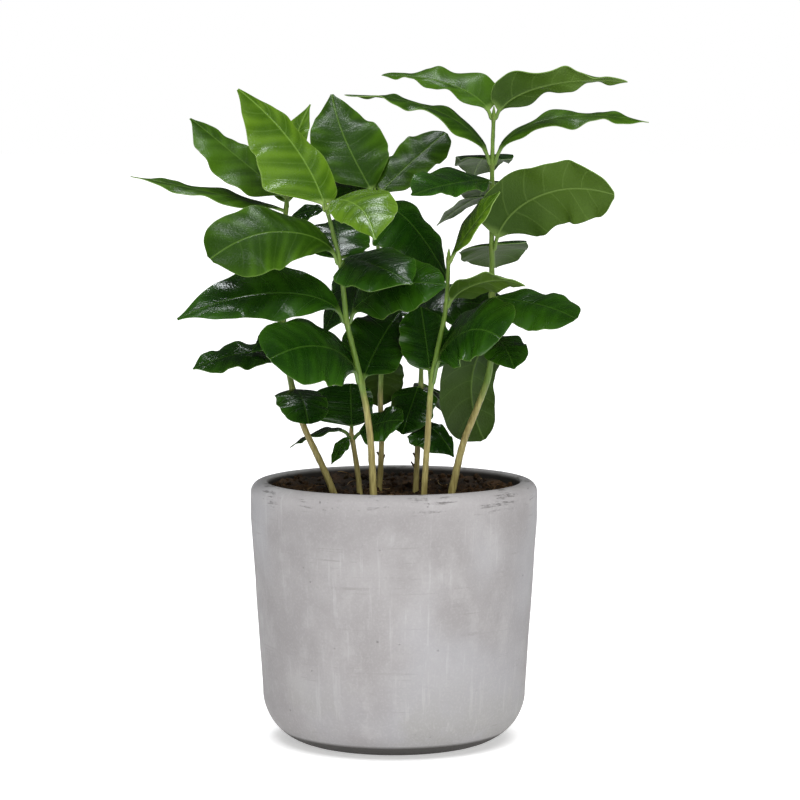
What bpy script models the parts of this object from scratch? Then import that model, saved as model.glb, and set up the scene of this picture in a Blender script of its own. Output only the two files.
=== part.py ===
"""A young coffee plant, seven seedlings in one grey concrete pot, modelled at its real size.

Metres, +Z up. The origin is the middle of the pot's foot, on the surface that the pot stands on.
+X is to the right and -Y is towards the viewer. Measures below are in millimetres unless they say
degrees, and MM turns them into metres.
"""

import math
from collections import namedtuple

import bmesh
import bpy
from mathutils import Matrix, Vector

MM = 0.001
UP = Vector((0.0, 0.0, 1.0))
GAP = 0.3

# The pot: a cast concrete cylinder that widens a little upwards.
POT_HEIGHT = 128.0
POT_RADIUS = 70.0
POT_FOOT_WALL_RADIUS = 64.4
POT_WAIST_RADIUS = 67.4
POT_WAIST_HEIGHT = 70.4
POT_STRAIGHT_FROM = 110.0
POT_FOOT_ROUNDING = 25.0
POT_WALL = 8.5
POT_FLOOR = 12.0
POT_LIP_ROUNDING = 5.5
POT_INNER_EDGE = 1.5
POT_INNER_ROUNDING = 14.0
POT_SIDES = 48

# The soil: a filled round with a slope from right to left and a lumpy top.
SOIL_LEVEL = 124.0
SOIL_SLOPE = -0.01
SOIL_LUMP = 1.1
SOIL_RINGS = 6
SOIL_SIDES = 36

# The stems.
STEM_ROOT_DEPTH = 26.0
HOLE_OVERSHOOT = 12.0
HOLE_SIDES = 12
STEM_STEP = 9.0
STEM_STEP_LEAST = 4.0
NODE_SWELL = 0.35
NODE_LENGTH = 2.2
NODE_REACH = 2.9
BUD_LENGTH = 5.0
BUD_TIP_RADIUS = 0.25

# The leaves.
STALK_GAP = 0.6
STALK_LENGTH = 2.4
STALK_RADIUS = 0.9
BLADE_THICKNESS = 0.75
RIB_THICKNESS = 1.3
ACROSS = (-1.0, -0.5, 0.0, 0.5, 1.0)
ALONG = (0.04, 0.12, 0.24, 0.37, 0.5, 0.62, 0.73, 0.83, 0.92, 1.0)
DROOP_FROM = 0.5
ARCH_LEAN = 0.6
STEP = 0.01

# The waves of a blade's edges: how many there are along it, how far those of one edge run ahead of
# the other's, how far those of a leaf run ahead for each millimetre of its node's height, how
# steeply they grow towards the edge, and how softly they fade out at the stalk and the tip.
WAVES = 2.6
EDGE_AHEAD = 0.35
NODE_AHEAD = 0.1
WAVE_RISE = 1.6
WAVE_FADE = 0.6

# How far a half's edge curls back down, as a share of the half's width, and how wide the blade
# still is where it leaves the stalk, as a share of the stalk's.
EDGE_CURL = 0.22
STALK_TAPER = 0.9

# Half the blade's width along it, as shares, for each shape of blade.
OUTLINES = {
    "lance": (
        (0.0, 0.08),
        (0.05, 0.28),
        (0.13, 0.6),
        (0.24, 0.89),
        (0.38, 1.0),
        (0.52, 0.95),
        (0.66, 0.8),
        (0.79, 0.54),
        (0.88, 0.3),
        (0.95, 0.12),
        (1.0, 0.03),
    ),
    "oval": (
        (0.0, 0.12),
        (0.04, 0.45),
        (0.1, 0.75),
        (0.2, 0.95),
        (0.36, 1.0),
        (0.54, 0.97),
        (0.69, 0.84),
        (0.8, 0.62),
        (0.89, 0.33),
        (0.95, 0.13),
        (1.0, 0.03),
    ),
    "clasp": (
        (0.0, 0.25),
        (0.03, 0.62),
        (0.09, 0.92),
        (0.18, 1.0),
        (0.32, 0.96),
        (0.5, 0.84),
        (0.65, 0.72),
        (0.78, 0.56),
        (0.88, 0.36),
        (0.95, 0.15),
        (1.0, 0.03),
    ),
    "broad": (
        (0.0, 0.3),
        (0.04, 0.72),
        (0.12, 0.96),
        (0.25, 1.0),
        (0.45, 0.98),
        (0.64, 0.97),
        (0.78, 0.92),
        (0.89, 0.76),
        (0.95, 0.54),
        (0.98, 0.28),
        (1.0, 0.05),
    ),
    "blunt": (
        (0.0, 0.15),
        (0.04, 0.5),
        (0.1, 0.8),
        (0.22, 0.96),
        (0.42, 1.0),
        (0.62, 1.0),
        (0.77, 0.94),
        (0.88, 0.78),
        (0.95, 0.54),
        (0.98, 0.28),
        (1.0, 0.05),
    ),
    "round": (
        (0.0, 0.15),
        (0.04, 0.5),
        (0.1, 0.8),
        (0.22, 0.97),
        (0.42, 1.0),
        (0.6, 0.98),
        (0.74, 0.88),
        (0.85, 0.68),
        (0.93, 0.38),
        (0.97, 0.14),
        (1.0, 0.03),
    ),
    "spoon": (
        (0.0, 0.1),
        (0.07, 0.3),
        (0.18, 0.52),
        (0.34, 0.76),
        (0.52, 0.94),
        (0.68, 1.0),
        (0.8, 0.96),
        (0.89, 0.8),
        (0.95, 0.56),
        (0.98, 0.28),
        (1.0, 0.05),
    ),
}

# A stem: its middle line as (right, back, up) from the soil upwards, its radius at both ends, and
# the heights of its nodes.
Stem = namedtuple("Stem", "line foot_radius top_radius nodes")

STEMS = {
    "stem_1": Stem(
        (
            (-28, -2, 118),
            (-34.5, -2, 134),
            (-44.7, -1, 156),
            (-51.2, 2, 180),
            (-54.2, 5, 205),
            (-54.2, 8, 235),
            (-52.2, 10, 268),
        ),
        1.9,
        1.0,
        (170, 187, 204, 252, 259, 266),
    ),
    "stem_2": Stem(((-16.5, 4, 118), (-18, 4, 132), (-20.7, 4, 149)), 1.5, 1.2, (148,)),
    "stem_3": Stem(
        (
            (-9.7, -26, 118),
            (-10.7, -26, 142),
            (-12.8, -27, 163),
            (-15.8, -27, 178),
            (-19, -28, 192),
            (-22.4, -29, 207),
            (-25.5, -30, 235),
            (-28.6, -31, 248),
            (-31.8, -32, 261),
        ),
        2.25,
        1.0,
        (178, 207, 235, 261),
    ),
    "stem_4": Stem(
        (
            (-7.5, 20, 118),
            (-6.2, 18, 145),
            (-6.8, 16, 167),
            (-6.2, 13, 185),
            (-6.5, 8, 215),
            (-8, 3, 245),
            (-9, 0, 266),
        ),
        1.5,
        0.9,
        (185, 236, 255, 265),
    ),
    "stem_5": Stem(
        ((10.5, 14, 118), (11.8, 14, 147), (13.2, 15, 174), (13.5, 17, 206)),
        1.5,
        1.0,
        (153, 172, 205),
    ),
    "stem_6": Stem(
        (
            (14, -24, 118),
            (16, -24, 149),
            (18, -23, 178),
            (20.4, -22, 191),
            (25, -20, 214),
            (26.2, -19, 237),
        ),
        1.8,
        1.0,
        (178, 214, 236),
    ),
    "stem_7": Stem(
        (
            (27, -10, 118),
            (33.5, -10, 147),
            (40.3, -9, 164),
            (46, -8, 181),
            (47.4, -8, 200),
            (47.4, -7, 220),
            (47.2, -7, 242),
            (47.4, -6, 282),
            (48, -6, 305),
        ),
        1.95,
        0.95,
        (197, 219, 241, 270, 281, 304),
    ),
}

# A leaf: the node's height on its stem; reach, from there to the tip, as (right, back, up); the
# blade's width; arch, how far the midrib bows up; droop, how far the tip hangs below that line;
# roll, degrees by which the edge on the right hand, looking out along the leaf, is raised; fold,
# degrees by which both halves rise from the midrib; wave, the height of the edge's waves; shape, the
# outline; tone; sweep, how far the midrib bows to the right hand; lop, the share by which the right
# half is wider and the left half narrower; and twist, degrees that the roll gains up to the tip.
Leaf = namedtuple(
    "Leaf", "node reach width arch droop roll fold wave shape tone sweep lop twist", defaults=(0, 0, 0)
)

LEAVES = {
    "leaf_1a": Leaf(266, (-48, 16, 38), 31, 0, 0, 25, 12, 1.5, "oval", "mid", lop=-0.3),
    "leaf_1b": Leaf(259, (-74.5, -14, 17), 20, 1, 0, 18, 8, 1.2, "lance", "mid"),
    "leaf_1c": Leaf(187, (-45, -12, -2), 21, 4, 2, 30, 8, 1.5, "round", "dark"),
    "leaf_1d": Leaf(204, (-15, -10, -13), 14, 2, 0, 20, 8, 0.8, "oval", "dark", lop=-0.6),
    "leaf_1e": Leaf(170, (8, -27, -8), 25, 4, 4, 0, 5, 1.0, "blunt", "dark"),
    "leaf_1g": Leaf(204, (8, 34, 26), 32, 5, 3, 0, 8, 1.5, "lance", "dark"),
    "leaf_1h": Leaf(262, (11, 30, 49), 17, 0, 0, 0, 8, 1.0, "oval", "young", sweep=-4, lop=-0.15),
    "leaf_1i": Leaf(252, (20, -6, 8), 12, 3, 0, -40, 8, 0.5, "lance", "dark"),
    "leaf_2a": Leaf(148, (-1, 10, 26), 31, 3, 0, 6, 8, 1.0, "blunt", "dark", lop=-0.3),
    "leaf_2b": Leaf(148, (-31, 12, -4), 13, 5, 2, 12, 8, 0.8, "lance", "dark"),
    "leaf_2c": Leaf(148, (-10, -8, -12), 8, 2, 0, 20, 10, 0.5, "lance", "dark"),
    "leaf_2d": Leaf(148, (25, -15, 12), 22, 2, 2, -45, 5, 1.0, "round", "dark"),
    "leaf_3a": Leaf(261, (-43.5, 30, 57), 36, 3, 0, 28, 8, 1.5, "clasp", "young", sweep=8.5, lop=-0.4),
    "leaf_3b": Leaf(261, (23, -40, -9), 30, 6.5, 4, -25, 5, 1.0, "oval", "young", sweep=-4, lop=-0.2),
    "leaf_3c": Leaf(178, (-42, -38, 16), 38, 12, 2, 50, 0, 1.5, "broad", "dark"),
    "leaf_3d": Leaf(178, (19, 36, 34), 31, 3, 2, -30, 5, 1.5, "oval", "dark", lop=-0.15),
    "leaf_3e": Leaf(207, (-80, -12, 6), 31, 12, 4, 55, 5, 1.5, "lance", "dark", lop=0.12),
    "leaf_3f": Leaf(207, (47, -15, 20), 31, 9, 2, -48, 5, 1.5, "round", "dark"),
    "leaf_3g": Leaf(235, (-60.5, -22, 10), 40, 11.5, 7, 48, 0, 1.5, "spoon", "mid"),
    "leaf_3h": Leaf(235, (34, -34, -8), 37, 4, 0, -25, 5, 1.0, "oval", "dark"),
    "leaf_3i": Leaf(235, (-3, 36, 22), 31, 3, 2, 0, 8, 1.5, "oval", "dark"),
    "leaf_4a": Leaf(265, (-22, 42, 51), 38, 3, 0, 20, 5, 2.0, "lance", "mid", sweep=-4, lop=0.05),
    "leaf_4b": Leaf(265, (34.5, 30, 32), 23, 2, 0, -32, 5, 2.0, "blunt", "mid", lop=-0.1),
    "leaf_4c": Leaf(255, (35, -10, -27), 34, 11, 3, -35, 5, 1.5, "oval", "dark", lop=0.35),
    "leaf_4d": Leaf(255, (-20, 30, 22), 29, 4, 1, 20, 5, 1.5, "oval", "dark"),
    "leaf_4f": Leaf(185, (-1, 16, -24), 23, 3, 0, 0, 8, 1.0, "round", "dark"),
    "leaf_4h": Leaf(236, (-27, -6, -35), 34, 6, 2, 20, 5, 1.0, "oval", "dark"),
    "leaf_5a": Leaf(153, (17, -21, -10), 20, 3, 3, -20, 8, 1.0, "oval", "dark", lop=0.45),
    "leaf_5b": Leaf(153, (-18, 20, -4), 20, 3, 2, 10, 8, 0.8, "lance", "dark"),
    "leaf_5c": Leaf(172, (-9, -12, -22), 25, 2, 0, 10, 8, 1.0, "round", "dark"),
    "leaf_5d": Leaf(172, (16, 16, -16), 25, 3, 0, -10, 8, 1.0, "round", "dark"),
    "leaf_5e": Leaf(205, (-24, 40, 8), 30, 4, 3, 10, 8, 1.0, "oval", "dark"),
    "leaf_5f": Leaf(205, (52, 6, 2), 34, 8, 3, -35, 5, 1.0, "oval", "dark"),
    "leaf_6a": Leaf(236, (24, -18, 33), 21, 2, 0, -50, 10, 0.5, "lance", "young", lop=-0.35),
    "leaf_6c": Leaf(178, (-5, 16, 35), 26, 3, 0, 0, 8, 1.0, "round", "dark"),
    "leaf_6d": Leaf(178, (32, -29, 27), 37, 13, 4, -52, 0, 1.5, "broad", "dark", lop=-0.15),
    "leaf_6e": Leaf(214, (37, -24, 15), 17, 6, 4, 30, 5, 1.0, "oval", "mid"),
    "leaf_7a": Leaf(304, (-54, 22, 21), 22, 8.5, 0, 44, 8, 1.9, "clasp", "mid", lop=0.45, twist=-30),
    "leaf_7b": Leaf(304, (63, -20, 18), 24, 9, 1, 44, 8, 2.1, "clasp", "mid", lop=0.35, twist=-30),
    "leaf_7c": Leaf(282, (-71, -12, 33), 23, 13.5, 0, 30, 8, 1.8, "clasp", "mid", twist=-30),
    "leaf_7d": Leaf(282, (76, 8, 20), 24, 14.5, 0, -16, 8, 2.0, "lance", "mid"),
    "leaf_7f": Leaf(241, (56.5, -38, 30), 34, 15, 3, 60, 0, 2.0, "broad", "mid"),
    "leaf_7g": Leaf(197, (10, -26, -9), 22, 3, 3, -12, 5, 1.0, "round", "dark"),
    "leaf_7h": Leaf(217, (39, -30, -5), 30, 1, 3, -28, 5, 1.2, "blunt", "dark", lop=0.15),
    "leaf_7j": Leaf(273, (-39, -52, -4), 26, 1, 1, 28, 5, 1.5, "oval", "dark", lop=0.25),
    "leaf_7k": Leaf(271, (-6, 36, -6), 24, 4, 3, 0, 5, 1.0, "round", "dark"),
    "leaf_7l": Leaf(197, (-3, 24, -51), 28, 4, 0, 4, 5, 1.2, "broad", "dark", sweep=-8, lop=-0.18),
    "leaf_7n": Leaf(264, (-26, 44, -13), 12, 5, 0, 0, 8, 0.5, "lance", "dark"),
    "leaf_7p": Leaf(282, (-8, 50, -4), 28, 5, 3, 0, 8, 1.5, "oval", "dark"),
    "leaf_7q": Leaf(241, (3, 44, -8), 34, 4, 3, 8, 8, 1.0, "round", "dark"),
}

# Colour, roughness and metallic value of each material.
FINISHES = {
    "concrete": ((0.42, 0.41, 0.40), 0.85, 0.0),
    "soil": ((0.05, 0.03, 0.02), 0.95, 0.0),
    "stem": ((0.42, 0.40, 0.16), 0.6, 0.0),
    "leaf_dark": ((0.03, 0.11, 0.02), 0.3, 0.0),
    "leaf_mid": ((0.06, 0.19, 0.03), 0.35, 0.0),
    "leaf_young": ((0.14, 0.30, 0.04), 0.3, 0.0),
}


def clear_scene():
    for old in list(bpy.data.objects):
        bpy.data.objects.remove(old)


def material(name):
    made = bpy.data.materials.get(name)
    if made:
        return made
    colour, roughness, metallic = FINISHES[name]
    made = bpy.data.materials.new(name)
    made.use_nodes = True
    shader = made.node_tree.nodes["Principled BSDF"]
    shader.inputs["Base Color"].default_value = (*colour, 1.0)
    shader.inputs["Roughness"].default_value = roughness
    shader.inputs["Metallic"].default_value = metallic
    return made


def object_of(name, data, finish):
    made = bpy.data.objects.new(name, data)
    bpy.context.scene.collection.objects.link(made)
    data.materials.append(material(finish))
    return made


def mesh_of(name, bm, crease=40):
    bm.normal_update()
    mesh = bpy.data.meshes.new(name)
    bm.to_mesh(mesh)
    bm.free()
    mesh.shade_smooth()
    mesh.set_sharp_from_angle(angle=math.radians(crease))
    return mesh


def arc(centre, radius, start, end, steps):
    """Points on a round corner in the (radius, height) plane, from one angle in degrees to another."""
    points = []
    for i in range(steps + 1):
        angle = math.radians(start + (end - start) * i / steps)
        points.append((centre[0] + radius * math.cos(angle), centre[1] + radius * math.sin(angle)))
    return points


def turned(profile, sides):
    """A closed body turned about Z from a (radius, height) profile that starts and ends on the axis."""
    bm = bmesh.new()
    verts = [bm.verts.new((r * MM, 0.0, z * MM)) for r, z in profile]
    edges = [bm.edges.new(pair) for pair in zip(verts, verts[1:])]
    bmesh.ops.spin(
        bm, geom=verts + edges, cent=(0, 0, 0), axis=(0, 0, 1), angle=math.tau, steps=sides, use_merge=True
    )
    bmesh.ops.remove_doubles(bm, verts=bm.verts[:], dist=0.01 * MM)
    bmesh.ops.recalc_face_normals(bm, faces=bm.faces[:])
    return bm


def pot_profile():
    """The wall's section from the middle of the foot, up the outside, over the lip and down the inside."""
    foot, lip = POT_FOOT_ROUNDING, POT_LIP_ROUNDING
    inner = POT_RADIUS - POT_WALL
    inner_foot = POT_FOOT_WALL_RADIUS - POT_WALL
    profile = [(0, 0)]
    profile += arc((POT_FOOT_WALL_RADIUS - foot, foot), foot, -90, 0, 6)
    profile += [(POT_WAIST_RADIUS, POT_WAIST_HEIGHT), (POT_RADIUS, POT_STRAIGHT_FROM)]
    profile += arc((POT_RADIUS - lip, POT_HEIGHT - lip), lip, 0, 90, 3)
    profile += [(inner + POT_INNER_EDGE, POT_HEIGHT), (inner, POT_HEIGHT - POT_INNER_EDGE)]
    profile += arc(
        (inner_foot - POT_INNER_ROUNDING, POT_FLOOR + POT_INNER_ROUNDING), POT_INNER_ROUNDING, 0, -90, 3
    )
    profile += [(0, POT_FLOOR)]
    return profile


def make_pot():
    return object_of("pot", mesh_of("pot", turned(pot_profile(), POT_SIDES)), "concrete")


def soil_height(x, y):
    """The soil's height at a place, in millimetres: it falls slightly towards the right and has soft lumps."""
    lumps = math.sin(x * 0.21 + 1.0) * math.cos(y * 0.26) + 0.6 * math.sin(x * 0.13 - y * 0.37)
    return SOIL_LEVEL + SOIL_SLOPE * x + SOIL_LUMP * lumps


def pot_inner_radius(z):
    inner_top, inner_foot = POT_RADIUS - POT_WALL, POT_FOOT_WALL_RADIUS - POT_WALL
    foot_height = POT_FLOOR + POT_INNER_ROUNDING
    share = (z - foot_height) / (POT_HEIGHT - foot_height)
    return inner_foot + (inner_top - inner_foot) * share


def make_soil():
    clear = 2 * GAP
    edge = pot_inner_radius(SOIL_LEVEL) - clear
    foot = POT_FLOOR + POT_INNER_ROUNDING
    side = [(edge * i / SOIL_RINGS, SOIL_LEVEL) for i in range(SOIL_RINGS + 1)]
    side += [(pot_inner_radius(foot) - clear, foot)]
    side += [(pot_inner_radius(foot) - POT_INNER_ROUNDING, POT_FLOOR + GAP), (0, POT_FLOOR + GAP)]
    bm = turned(side, SOIL_SIDES)
    for vert in bm.verts:
        if vert.co.z > (SOIL_LEVEL - 1) * MM:
            vert.co.z = soil_height(vert.co.x / MM, vert.co.y / MM) * MM
    soil = object_of("soil", mesh_of("soil", bm), "soil")
    for name in STEMS:
        cutter = soil_hole(name)
        cut = soil.modifiers.new(name, "BOOLEAN")
        cut.operation = "DIFFERENCE"
        cut.object = cutter
    return soil


def soil_hole(name):
    """A round cutter that leaves a plain hole in the soil for a stem."""
    stem = STEMS[name]
    foot, lean = stem_foot(stem)
    length = STEM_ROOT_DEPTH + HOLE_OVERSHOOT
    radius = stem.foot_radius + 2 * GAP
    bpy.ops.mesh.primitive_cylinder_add(vertices=HOLE_SIDES, radius=radius * MM, depth=length * MM)
    cutter = bpy.context.object
    cutter.name = name + "_hole"
    middle = foot + lean * (length / 2 - GAP)
    cutter.matrix_world = Matrix.Translation(middle * MM) @ lean.to_track_quat("Z", "Y").to_matrix().to_4x4()
    cutter.hide_render = True
    cutter.display_type = "WIRE"
    return cutter


def stem_foot(stem):
    """The stem's lower end in the soil, and the direction in which it rises."""
    first, second = Vector(stem.line[0]), Vector(stem.line[1])
    lean = (second - first).normalized()
    return first - lean * STEM_ROOT_DEPTH, lean


def stem_point(stem, height):
    """A place on a stem's middle line: a smooth curve through its points, by height."""
    line = [Vector(point) for point in stem.line]
    line = [line[0] * 2 - line[1]] + line + [line[-1] * 2 - line[-2]]
    last = len(line) - 3
    i = max(1, min(last, next((k for k in range(1, last + 1) if line[k + 1].z >= height), last)))
    before, start, end, after = line[i - 1 : i + 3]
    share = (height - start.z) / (end.z - start.z)
    leave = (end - before) * (end.z - start.z) / (end.z - before.z)
    arrive = (after - start) * (end.z - start.z) / (after.z - start.z)
    s2, s3 = share**2, share**3
    place = start * (2 * s3 - 3 * s2 + 1) + end * (3 * s2 - 2 * s3)
    place += leave * (s3 - 2 * s2 + share) + arrive * (s3 - s2)
    return Vector((place.x, place.y, height))


def stem_radius(stem, height):
    """The radius tapers upwards and swells at each node."""
    low, high = stem.line[0][2], stem.line[-1][2]
    share = min(1.0, max(0.0, (height - low) / (high - low)))
    radius = stem.foot_radius + (stem.top_radius - stem.foot_radius) * share
    swell = max(math.exp(-(((height - node) / NODE_LENGTH) ** 2)) for node in stem.nodes)
    return radius * (1 + NODE_SWELL * swell)


def stem_heights(stem):
    low, high = stem.line[0][2], stem.line[-1][2]
    heights = {low, high}
    steps = round((high - low) / STEM_STEP)
    plain = [low + (high - low) * i / steps for i in range(1, steps)]
    at_nodes = [node + shift for node in stem.nodes for shift in (-NODE_REACH, 0, NODE_REACH)]
    at_nodes = [h for h in at_nodes if low < h < high]
    heights.update(at_nodes)
    heights.update(h for h in plain if all(abs(h - other) > STEM_STEP_LEAST for other in at_nodes))
    return sorted(heights)


def make_stem(name):
    stem = STEMS[name]
    heights = stem_heights(stem)
    points = [(stem_foot(stem)[0], stem.foot_radius)]
    points += [(stem_point(stem, h), stem_radius(stem, h)) for h in heights]
    top, below = points[-1][0], points[-3][0]
    rise = (top - below).normalized()
    points += [(top + rise * BUD_LENGTH * 0.5, stem.top_radius * 0.8)]
    points += [(top + rise * BUD_LENGTH, BUD_TIP_RADIUS)]
    curve = bpy.data.curves.new(name, "CURVE")
    curve.dimensions = "3D"
    curve.bevel_depth = MM
    curve.bevel_resolution = 2
    curve.use_fill_caps = True
    spline = curve.splines.new("POLY")
    spline.points.add(len(points) - 1)
    for point, (place, radius) in zip(spline.points, points):
        point.co = (*(place * MM), 1.0)
        point.radius = radius
    spline.use_smooth = True
    return object_of(name, curve, "stem")


def outline(shape, share):
    """Half the blade's width at a share of its length, straight between the outline's points."""
    points = OUTLINES[shape]
    for (start, low), (end, high) in zip(points, points[1:]):
        if share <= end:
            return low + (high - low) * (share - start) / (end - start)
    return points[-1][1]


def bow_of(leaf, share):
    """How far the midrib stands above the straight line to the tip: most of it near the stem."""
    lean = max(0.0, share) ** ARCH_LEAN
    return leaf.arch * 4 * lean * (1 - lean)


def stalk_steepness(leaf):
    """The sine of the angle, up or down, between the stalk and the level."""
    whole = Vector(leaf.reach)
    share = STALK_LENGTH / whole.length
    return abs((whole * share + UP * bow_of(leaf, share)).normalized().z)


def leaf_frame(leaf, stem):
    """Where a leaf's stalk starts, its chord to the tip and its right hand."""
    heading = Vector((leaf.reach[0], leaf.reach[1], 0.0)).normalized()
    middle = stem_point(stem, leaf.node)
    clear = stem_radius(stem, leaf.node) + STALK_GAP + STALK_RADIUS * stalk_steepness(leaf)
    foot = middle + heading * clear
    return foot, middle + Vector(leaf.reach) - foot, heading.cross(UP)


def midrib(leaf, stem, share):
    foot, chord, right = leaf_frame(leaf, stem)
    hang = leaf.droop * max(0.0, (share - DROOP_FROM) / (1 - DROOP_FROM)) ** 2
    aside = leaf.sweep * 4 * share * (1 - share)
    return foot + chord * share + UP * (bow_of(leaf, share) - hang) + right * aside


def blade_axes(leaf, stem, share):
    """The blade's right hand and its upward face at a share of the leaf's length."""
    right = leaf_frame(leaf, stem)[2]
    ahead = (midrib(leaf, stem, share + STEP) - midrib(leaf, stem, share - STEP)).normalized()
    side = (right - ahead * right.dot(ahead)).normalized()
    face = side.cross(ahead)
    roll = math.radians(leaf.roll + leaf.twist * share)
    return side * math.cos(roll) + face * math.sin(roll), face * math.cos(roll) - side * math.sin(roll)


def blade_half(leaf, blade, across):
    """The width of the half that a place lies in."""
    lop = leaf.lop if across > 0 else -leaf.lop
    half = (1 + lop) * leaf.width / 2 * outline(leaf.shape, blade)
    return max(half, STALK_RADIUS * (1 - blade) * STALK_TAPER)


def edge_wave(leaf, blade, across):
    turns = WAVES * blade + NODE_AHEAD * leaf.node + (EDGE_AHEAD if across > 0 else 0.0)
    fade = max(0.0, math.sin(math.pi * blade)) ** WAVE_FADE
    return leaf.wave * abs(across) ** WAVE_RISE * math.sin(math.tau * turns) * fade


def leaf_point(leaf, stem, share, across):
    """A place on the leaf's middle surface: share is 0 at the stalk's foot, across is -1 or 1 at an edge."""
    place = midrib(leaf, stem, share)
    side, face = blade_axes(leaf, stem, share)
    stalk = STALK_LENGTH / leaf_frame(leaf, stem)[1].length
    blade = (share - stalk) / (1 - stalk)
    if blade <= 0:
        return place + side * across * STALK_RADIUS
    half = blade_half(leaf, blade, across)
    fold = math.radians(leaf.fold)
    out = abs(across)
    lift = half * (out * math.sin(fold) - EDGE_CURL * out * out) + edge_wave(leaf, blade, across)
    return place + side * across * half * math.cos(fold) + face * lift


def leaf_thickness(blade, across):
    rib = (1 - abs(across)) ** 2 * (1 - blade) ** 0.5
    return BLADE_THICKNESS + (RIB_THICKNESS - BLADE_THICKNESS) * rib


def thicken(piece, weights, thickest):
    """Gives a middle surface its thickness at each point, half to either side."""
    group = piece.vertex_groups.new(name="thickness")
    for index, weight in enumerate(weights):
        group.add([index], weight, "REPLACE")
    solidify = piece.modifiers.new("thickness", "SOLIDIFY")
    solidify.thickness = thickest * MM
    solidify.offset = 0.0
    solidify.vertex_group = group.name
    solidify.thickness_vertex_group = 0.0


def make_leaf(name):
    leaf = LEAVES[name]
    stem = STEMS["stem_" + name.split("_")[1][0]]
    stalk = STALK_LENGTH / leaf_frame(leaf, stem)[1].length
    shares = [0.0, stalk] + [stalk + (1 - stalk) * blade for blade in ALONG]
    columns, rows = len(ACROSS), len(shares)
    bm = bmesh.new()
    bmesh.ops.create_grid(bm, x_segments=columns - 1, y_segments=rows - 1, size=1.0)
    bm.verts.ensure_lookup_table()
    thickest = 2 * STALK_RADIUS
    weights = []
    for row in range(rows):
        for column in range(columns):
            vert = bm.verts[row * columns + column]
            vert.co = leaf_point(leaf, stem, shares[row], ACROSS[column]) * MM
            blade = (shares[row] - stalk) / (1 - stalk)
            thick = thickest if blade <= 0 else leaf_thickness(blade, ACROSS[column])
            weights.append(thick / thickest)
    bmesh.ops.triangulate(bm, faces=bm.faces[:])
    made = object_of(name, mesh_of(name, bm), "leaf_" + leaf.tone)
    thicken(made, weights, thickest)
    return made


def main():
    clear_scene()
    make_pot()
    make_soil()
    for name in STEMS:
        make_stem(name)
    for name in LEAVES:
        make_leaf(name)


main()
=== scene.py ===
"""A young coffee plant, seven seedlings in one grey concrete pot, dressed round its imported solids.

Metres, +Z up. The origin is the middle of the pot's foot, on the surface that the pot stands on.
+X is to the right and -Y is towards the viewer. Measures below are in millimetres unless they say
degrees, and MM turns them into metres.
"""

import math
import random
from collections import namedtuple

import bmesh
import bpy
import numpy as np
from mathutils import Matrix, Vector, noise


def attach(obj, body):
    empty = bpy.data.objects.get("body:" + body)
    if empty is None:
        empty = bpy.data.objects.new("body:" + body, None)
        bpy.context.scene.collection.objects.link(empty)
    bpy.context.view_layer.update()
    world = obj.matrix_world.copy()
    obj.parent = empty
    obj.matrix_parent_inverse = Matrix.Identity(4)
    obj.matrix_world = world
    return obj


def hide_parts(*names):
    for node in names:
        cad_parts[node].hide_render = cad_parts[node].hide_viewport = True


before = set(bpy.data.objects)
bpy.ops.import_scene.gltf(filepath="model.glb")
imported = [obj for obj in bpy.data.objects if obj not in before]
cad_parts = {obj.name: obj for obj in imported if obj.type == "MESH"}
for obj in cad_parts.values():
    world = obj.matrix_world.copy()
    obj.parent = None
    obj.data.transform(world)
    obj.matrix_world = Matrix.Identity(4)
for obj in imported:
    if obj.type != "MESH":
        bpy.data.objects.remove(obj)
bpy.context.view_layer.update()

MM = 0.001
UP = np.array((0.0, 0.0, 1.0))

# The view.
CAMERA_PLACE = (0.0029, -1.458, 0.297)
CAMERA_DOWN = 5.09
CAMERA_LENS = 135.0
ROOM_LIGHT = 0.27
REFLECTED_LIGHT = 0.05
BACKDROP_LIGHT = 1.0

# The pot.
POT_HEIGHT = 128.0
POT_RADIUS = 70.0
POT_FOOT_WALL_RADIUS = 64.4
POT_FOOT_ROUNDING = 25.0
POT_WALL = 8.5
POT_FLOOR = 12.0
POT_LIP_ROUNDING = 5.5
POT_INNER_ROUNDING = 14.0
POT_SIDES = 144

# The soil.
SOIL_LEVEL = 124.0
SOIL_SLOPE = -0.01
SOIL_LUMP = 1.1
SOIL_DISH = 4.5
CRUMBS = 700
FIBRES = 46

# The stems.
STEM_ROOT_DEPTH = 26.0
STEM_STEP = 1.6
STEM_SIDES = 14
NODE_SWELL = 0.25
NODE_LENGTH = 2.2
STUBS = (("stem_4", 138, -1, 2.6), ("stem_4", 137, 1, 2.0), ("stem_5", 138, -1, 2.8), ("stem_5", 132, -1, 5.0))
BUD_LENGTH = 5.0

# The leaves.
STALK_GAP = -0.6
STALK_LENGTH = 1.4
LONG_STALK = 3.3
BASE_TAPER = 0.16
STALK_RADIUS = 0.9
DROOP_FROM = 0.5
ARCH_LEAN = 0.6
STEP = 0.01
LEAF_COLUMNS = 13
LEAF_ROWS = 68
STALK_ROWS = 6
BLADE_THICKNESS = 0.4
RIB_THICKNESS = 1.2
VEINS = 6.5
WAVES = 2.6

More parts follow.
